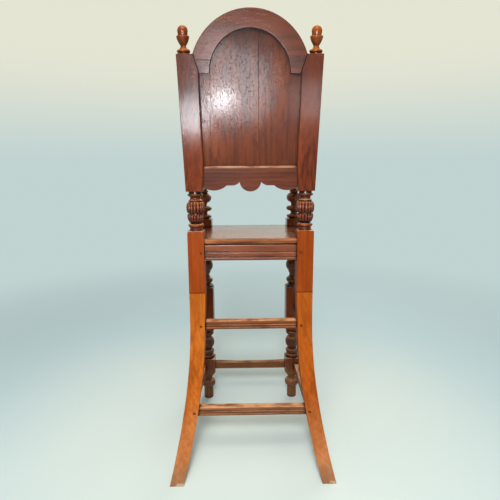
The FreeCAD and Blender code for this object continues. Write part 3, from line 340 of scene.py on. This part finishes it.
def wood(name, zones, worn_and_highlight, grain, *, gloss=0.5, shine=0.05, coat_gloss=0.14, pore=0.4, pore_size=1.0,
         pore_run=13.0, bands=0.0, figure=0.15, blotch=0.6, mottle=0.0, wear=0.4, top_wear_and_highlight=0.3,
         hollow_shade=0.35, crevice_shade=(0.4, 0.95), chipped=0.0, joint=None):
    """Old polished oak, in the tones and the polish of its zones.

    gloss, shine: roughness and specular level of the wood under the polish
    coat_gloss: roughness of the polish
    pore, pore_size, pore_run: depth and size of the pores, and how much longer they are than wide
    bands, figure, blotch, mottle: shares of dark bands, rings, pale patches and dark patches
    wear, top_wear_and_highlight: how much wear the arrises show, and how much wear and painted highlight
    the upper faces show, in the colour worn_and_highlight
    hollow_shade, crevice_shade: brightness left in hollows by painted shade, and the range of open air
    over which it darkens them
    chipped: how much bare wood shows just above the floor
    joint: height of a seam that holds dirt
    """
    oak = Oak(name, grain, pore_size, pore_run)
    shader = oak.tree.nodes["Principled BSDF"]

    # Tones and polish, zone by zone
    streaky = oak.span(oak.streak, *STREAK_RANGE)
    patch = oak.span(oak.broad, *BLOTCH_RANGE, 0.0, blotch)
    marks = (
        (oak.times(oak.rings(), figure), 1.0),
        (oak.span(oak.patchy, *MOTTLE_RANGE, 0.0, mottle), 1.0),
        (oak.span(oak.band, *BAND_RANGE, 0.0, bands), BAND_DEPTH),
        (oak.span(oak.pits, 0.0, 1.0, 0.0, pore), PORE_DEPTH),
    )
    tone, polish = None, None
    for zone in zones:
        dark, ground, pale = zone.tones
        layer = oak.mix(patch, oak.mix(streaky, dark, ground), pale)
        for share, depth in marks:
            layer = oak.mix(share, layer, darker(dark, depth))
        rise = (zone.foot - zone.blend, zone.foot + zone.blend)
        if tone is None:
            tone = layer
        else:
            tone = oak.mix(oak.span(oak.height, *rise), tone, layer)
        if polish in (None, zone.polish):
            polish = zone.polish
        else:
            polish = oak.span(oak.height, *rise, polish, zone.polish)

    # Dirt, wear, a painted highlight on upper faces, chips and painted shade in hollows
    lowest_dark = zones[0].tones[0]
    grime = darker(lowest_dark, GRIME_DEPTH)
    wear_and_highlight = oak.wear_and_highlight(wear, top_wear_and_highlight)
    if joint:
        offset = oak.math("ABSOLUTE", oak.math("SUBTRACT", oak.height, joint))
        wear_and_highlight = oak.times(wear_and_highlight, oak.span(offset, *SEAM_CLEAR))
        tone = oak.mix(oak.span(offset, *SEAM_EDGE, 0.0, SEAM_DIRT), tone, grime)
    # Wear on arrises, and wear with a painted highlight on upper faces
    tone = oak.mix(wear_and_highlight, tone, worn_and_highlight)
    tone = oak.mix(oak.times(oak.knock, KNOCK_DIRT), tone, grime)
    if chipped:
        chips = oak.span(oak.patchy, *CHIP_RANGE, 0.0, chipped)
        tone = oak.mix(oak.times(oak.span(oak.height, *CHIP_RISE), chips), tone, BARE_WOOD)
    # Painted shade: darker where little open air reaches, in hollows, grooves and corners
    painted_hollow_shade = oak.span(oak.open_air, *crevice_shade, hollow_shade, 1.0)
    shade = oak.add("CombineColor", {0: painted_hollow_shade, 1: painted_hollow_shade, 2: painted_hollow_shade}).outputs[0]
    tone = oak.mix(1.0, tone, shade, "MULTIPLY")

    # Wood that is duller in its pores, under polish that follows its relief
    smoothest, roughest = (gloss + step for step in GLOSS_STEPS)
    ground_rough = oak.span(oak.broad, *GLOSS_RANGE, smoothest, roughest)
    pore_rough = oak.span(oak.pits, 0.0, 1.0, 0.0, PORE_DULLING * pore)
    relief = oak.relief(pore, pore_size)
    finish = {
        "Base Color": tone,
        "Roughness": oak.math("ADD", ground_rough, pore_rough),
        "Specular IOR Level": shine,
        "Normal": relief,
        "Coat Weight": polish,
        "Coat Roughness": coat_gloss,
        "Coat Normal": relief,
    }
    for key, value in finish.items():
        oak.feed(shader.inputs[key], value)
    return oak.owner


def pale_paper():
    """The studio's floor of paper, paler near the chair as a painted pool of light and darker further
    off as painted shade, which fades into the haze with distance.
    """
    cloud_rate, cloud_range, cloud_share = 2.3, (0.35, 0.65), 0.25
    lit_to_shaded, into_haze = (0.35, 1.0), (0.6, 2.4)
    graph = Graph(bpy.data.materials.new("paper"))
    place = graph.add("TexCoord").outputs["Object"]
    distance = graph.vector("LENGTH", place, output="Value")
    # Painted light near the chair giving way to painted shade further off
    tone = graph.mix(graph.span(distance, *lit_to_shaded), PAPER_LIT_NEAR, PAPER_SHADED_FAR)
    cloud = graph.span(graph.noise(place, cloud_rate), *cloud_range, 0.0, cloud_share)
    paper = graph.tree.nodes["Principled BSDF"]
    graph.feed(paper.inputs["Base Color"], graph.mix(cloud, tone, PAPER_CLOUD))
    paper.inputs["Roughness"].default_value = 0.85
    paper.inputs["Specular IOR Level"].default_value = 0.2
    haze = graph.add("Emission", {"Color": HAZE})
    far = graph.times(graph.span(distance, *into_haze), graph.seen())
    both = graph.add("MixShader", {0: far, 1: paper.outputs[0], 2: haze.outputs[0]})
    graph.feed(graph.tree.nodes["Material Output"].inputs["Surface"], both.outputs[0])
    return graph.owner


# The chair

def pair(stem):
    return [stem + "_left", stem + "_right"]


PANEL_BOARDS = ["back_board_wide", "back_board_narrow"]
CREST = ["crest_arch", "crest_end_patch"]
BACK_RAILS = ["back_bottom_rail", "seat_rail_rear"]
POLISHED_BACK = PANEL_BOARDS + CREST + BACK_RAILS + pair("rear_post") + pair("finial")
SIDE_RAILS = pair("seat_rail_side") + pair("side_stretcher_upper") + pair("side_stretcher_lower")
PEGS = ["splice_dowels", "seat_pegs", "arm_pegs", "back_rail_pegs", "stretcher_pegs", "seat_rail_pegs"]


def dress(names, material, bevel=0.0):
    """Give CAD nodes a material, and take the sharpness off their arrises."""
    for name in names:
        node = nodes[name]
        node.data.materials.clear()
        node.data.materials.append(material)
        if not bevel:
            continue
        weld = node.modifiers.new("weld", "WELD")
        weld.merge_threshold = WELD_REACH
        arris = node.modifiers.new("arris", "BEVEL")
        arris.width = bevel
        arris.segments = 2
        arris.limit_method = "ANGLE"
        arris.angle_limit = math.radians(ARRIS_ANGLE)
        normals = node.modifiers.new("normals", "WEIGHTED_NORMAL")
        normals.keep_sharp = False


def dress_rear():
    """The rear legs and posts, the back between them and the finials."""
    # Lit and shaded copies of one oak: painted light on the left leg, painted shade on the right
    for leg, tones in zip(pair("rear_leg"), (AMBER_LIT, ORANGE_SHADED)):
        zones = whole(SCUFFED, DULL) + [Zone(SCUFF, 0.02, FADED, DULL), Zone(FADE, 0.1, tones, DULL)]
        oak = wood(leg + "_oak", zones, GOLD_WEAR_AND_HIGHLIGHT, GRAIN_UP, gloss=0.6, bands=0.35, figure=0.25,
                   mottle=0.55, top_wear_and_highlight=0.15, chipped=0.9, joint=SPLICE)
        dress([leg], oak, LEG_ARRIS)

    zones = whole(RUSSET, DULL) + [
        # The bulbs: painted shade on the lower half of the cup and of the cover and on the neck, and a
        # painted highlight on top of the cover
        Zone(POST_BLOCK_TOP, 0.004, BULB, BULB_POLISH),
        Zone(CUP_FOOT, 0.003, BULB_SHADED, BULB_POLISH),
        Zone(CUP_MIDDLE, 0.006, BULB, BULB_POLISH),
        Zone(COVER_FOOT, 0.002, BULB_SHADED, BULB_POLISH),
        Zone(COVER_MIDDLE, 0.006, BULB, BULB_POLISH),
        Zone(COVER_TOP, 0.003, BULB_LIT_CAP, BULB_POLISH),
        Zone(COVER_NECK, 0.001, BULB_SHADED, BULB_POLISH),
        Zone(POST_FOOT, 0.004, MAHOGANY, 0.2),
        Zone(POST_BRIGHT, 0.05, MAHOGANY, 0.4),
        Zone(POST_DARK, 0.08, UMBER, 0.3),
    ]
    oak = wood("post_oak", zones, GOLD_WEAR_AND_HIGHLIGHT, GRAIN_UP, pore=0.1, bands=0.35, mottle=0.4, wear=0.12,
               top_wear_and_highlight=0.6, hollow_shade=0.02, crevice_shade=(0.5, 0.98), joint=SPLICE)
    dress(pair("rear_post"), oak)

    oak = wood("arch_oak", whole(ARCH, 0.4), DARK_WEAR, GRAIN_ACROSS, coat_gloss=0.22, bands=0.5,
               top_wear_and_highlight=0.0)
    dress(CREST, oak, BACK_ARRIS)

    oak = wood("apron_oak", whole(APRON, 0.22), GREY_WEAR_AND_HIGHLIGHT, GRAIN_ACROSS, coat_gloss=0.25, bands=0.5,
               top_wear_and_highlight=0.7)
    dress(["back_bottom_rail"], oak, BACK_ARRIS)

    zones = whole(PANEL, 0.2) + [
        Zone(PANEL_BRIGHT, 0.05, PANEL, 0.35),
        Zone(PANEL_DARK, 0.08, PANEL_HIGH, 0.27),
    ]
    oak = wood("panel_oak", zones, GOLD_WEAR_AND_HIGHLIGHT, GRAIN_RAKED, pore=0.5, pore_size=1.25, pore_run=3.2,
               bands=0.5, blotch=0.75, mottle=0.85, wear=0.0, top_wear_and_highlight=0.0)
    dress(PANEL_BOARDS, oak)

    oak = wood("finial_oak", whole(HONEY, 0.35), GOLD_WEAR_AND_HIGHLIGHT, GRAIN_UP, coat_gloss=0.08, pore=0.12,
               hollow_shade=0.15)
    dress(pair("finial"), oak)


def dress_seat():
    """The seat board, its rails, the arms and the front legs."""
    zones = whole(SEAT, 0.15) + [
        # The nose: a paler tone without polish, wear and a painted highlight
        Zone(SEAT_NOSE_FOOT, 0.002, NOSE_WEAR_AND_HIGHLIGHT, DULL),
        Zone(SEAT_TOP, 0.001, SEAT, 0.8),
    ]
    oak = wood("seat_oak", zones, PALE_WEAR_AND_HIGHLIGHT, GRAIN_ACROSS, gloss=0.3, shine=0.12, coat_gloss=0.1,
               wear=0.85, top_wear_and_highlight=0.0)
    dress(["seat_board"], oak, SEAT_ARRIS)

    oak = wood("seat_rail_oak", whole(SEAT_RAIL, 0.4), PALE_WEAR_AND_HIGHLIGHT, GRAIN_ACROSS, bands=0.4, wear=0.3,
               top_wear_and_highlight=0.35, hollow_shade=0.1)
    dress(["seat_rail_front", "seat_rail_rear"], oak, RAIL_ARRIS)

    dress(pair("arm"), wood("arm_oak", whole(MAHOGANY, 0.4), GOLD_WEAR_AND_HIGHLIGHT, GRAIN_DEEP), ARM_ARRIS)

    zones = whole(DUSTY, 0.3) + [Zone(DUST_TOP, 0.04, BROWN, 0.6), Zone(SEAT_TOP, 0.01, CHESTNUT, 0.7)]
    oak = wood("front_leg_oak", zones, GOLD_WEAR_AND_HIGHLIGHT, GRAIN_UP, coat_gloss=0.1, pore=0.15, top_wear_and_highlight=0.4,
               hollow_shade=0.1)
    dress(pair("front_leg"), oak)


def dress_rails():
    """The stretchers, the side rails and the pegs."""
    zones = whole(RAIL_LOW, 0.2) + [Zone(RAIL_DUST, 0.03, RAIL, 0.18)]
    oak = wood("rail_oak", zones, PALE_WEAR_AND_HIGHLIGHT, GRAIN_ACROSS, bands=0.4, wear=0.2, top_wear_and_highlight=0.65,
               hollow_shade=0.15)
    dress(["rear_stretcher_upper", "rear_stretcher_lower"], oak, RAIL_ARRIS)

    oak = wood("front_rail_oak", whole(DUSTY, 0.2), GOLD_WEAR_AND_HIGHLIGHT, GRAIN_ACROSS, top_wear_and_highlight=0.4)
    dress(["front_stretcher"], oak, RAIL_ARRIS)

    oak = wood("side_rail_oak", whole(RAIL, 0.25), PALE_WEAR_AND_HIGHLIGHT, GRAIN_DEEP, bands=0.4, wear=0.25,
               top_wear_and_highlight=1.0, hollow_shade=0.15)
    dress(SIDE_RAILS, oak, RAIL_ARRIS)

    dress(PEGS, wood("peg_oak", whole(PEG, DULL), GOLD_WEAR_AND_HIGHLIGHT, GRAIN_UP, pore=0.3, wear=0.0, top_wear_and_highlight=0.0))


# Stage, light and camera

def make_floor():
    """A wide round floor."""
    radius, sides = 9.0, 96
    turns = [2 * math.pi * step / sides for step in range(sides)]
    rim = [(radius * math.cos(turn), radius * math.sin(turn), 0.0) for turn in turns]
    mesh = bpy.data.meshes.new("floor")
    mesh.from_pydata(rim, [], [tuple(range(sides))])
    mesh.materials.append(pale_paper())
    floor = bpy.data.objects.new("floor", mesh)
    scene.collection.objects.link(floor)


def make_surround():
    """Soft light from all round, and the pale surround that the camera and the polish see."""
    horizon_to_cream = (0.0, 0.26)
    scene.world = bpy.data.worlds.new("studio")
    graph = Graph(scene.world)
    way = graph.add("TexCoord").outputs["Generated"]
    rise = graph.add("SeparateXYZ", {"Vector": way}).outputs["Z"]
    light = graph.mix(graph.span(rise, 0.0, 1.0), LIGHT_BELOW, LIGHT_ABOVE)
    backdrop = graph.mix(graph.span(rise, *horizon_to_cream), HAZE, CREAM)
    background = graph.tree.nodes["Background"]
    graph.feed(background.inputs["Color"], graph.mix(graph.seen(), light, backdrop))


def make_lamp(name, place, target, size, power, colour, spread=180):
    """A round soft lamp that the camera doesn't see."""
    light = bpy.data.lights.new(name, "AREA")
    light.shape = "DISK"
    light.size = size
    light.energy = power
    light.color = colour
    light.spread = math.radians(spread)
    lamp = bpy.data.objects.new(name, light)
    scene.collection.objects.link(lamp)
    lamp.location = place
    lamp.rotation_euler = (Vector(target) - Vector(place)).to_track_quat("-Z", "Y").to_euler()
    lamp.visible_camera = False
    return lamp


def make_lamps():
    """The soft lamps round the chair."""
    make_lamp("key", (0.1, 1.1, 2.1), (0, 0, 0.5), size=0.9, power=22.0, colour=SUNNY)
    make_lamp("overhead", (0.0, 0.2, 2.3), (0, 0, 0.4), size=1.8, power=9.0, colour=WARM)
    make_lamp("front", (-0.7, -1.6, 1.5), (0, 0, 0.55), size=1.2, power=12.0, colour=WARM)
    fill = make_lamp("fill", (0.1, 2.2, 1.9), (0, 0, 0.4), size=0.5, power=20.0, colour=COOL, spread=120)
    fill.visible_glossy = False


def make_glints():
    """Low lamps behind the camera that only the polished back mirrors."""
    depth, target = 1.3, (0, 0, 0.75)
    # Name, place across and up, size and power
    glints = (
        ("flash", (0.116, 0.64), 0.05, 3.2),
        ("halo", (0.03, 0.7), 0.34, 7.4),
        ("left_glint", (0.265, 0.56), 0.18, 4.8),
        ("right_glint", (-0.325, 0.63), 0.18, 1.0),
        ("arch_glint", (0.175, 0.88), 0.1, 1.1),
    )
    mirrors = bpy.data.collections.new("mirrors")
    for name in POLISHED_BACK:
        mirrors.objects.link(nodes[name])
    for name, (x, z), size, power in glints:
        glint = make_lamp(name, (x, depth, z), target, size, power, COOL)
        glint.visible_diffuse = False
        glint.light_linking.receiver_collection = mirrors


def make_camera():
    """The photograph's view: from behind the chair, a little above the seat, looking slightly down.

    Lengths are in metres, turns in degrees and the sensor's width in millimetres.
    """
    lens_pixels, frame_pixels, sensor_width = 415.1, 500, 36.0
    distance, height = 1.0558, 0.7087
    pitch, roll, round_chair, aside = 10.7, -0.35, 1.0, 0.05
    data = bpy.data.cameras.new("camera")
    data.sensor_width = sensor_width
    data.lens = sensor_width * lens_pixels / frame_pixels
    camera = bpy.data.objects.new("camera", data)
    scene.collection.objects.link(camera)
    walk = math.radians(round_chair)
    spot = Vector((distance * math.sin(walk), distance * math.cos(walk), height))
    aim = Euler((math.radians(90 - pitch), 0, math.radians(180 - round_chair + aside))).to_matrix()
    tilt = Matrix.Rotation(math.radians(roll), 3, "Z")
    camera.matrix_world = Matrix.Translation(spot) @ (aim @ tilt).to_4x4()
    scene.camera = camera


dress_rear()
dress_seat()
dress_rails()
make_floor()
make_surround()
make_lamps()
make_glints()
make_camera()
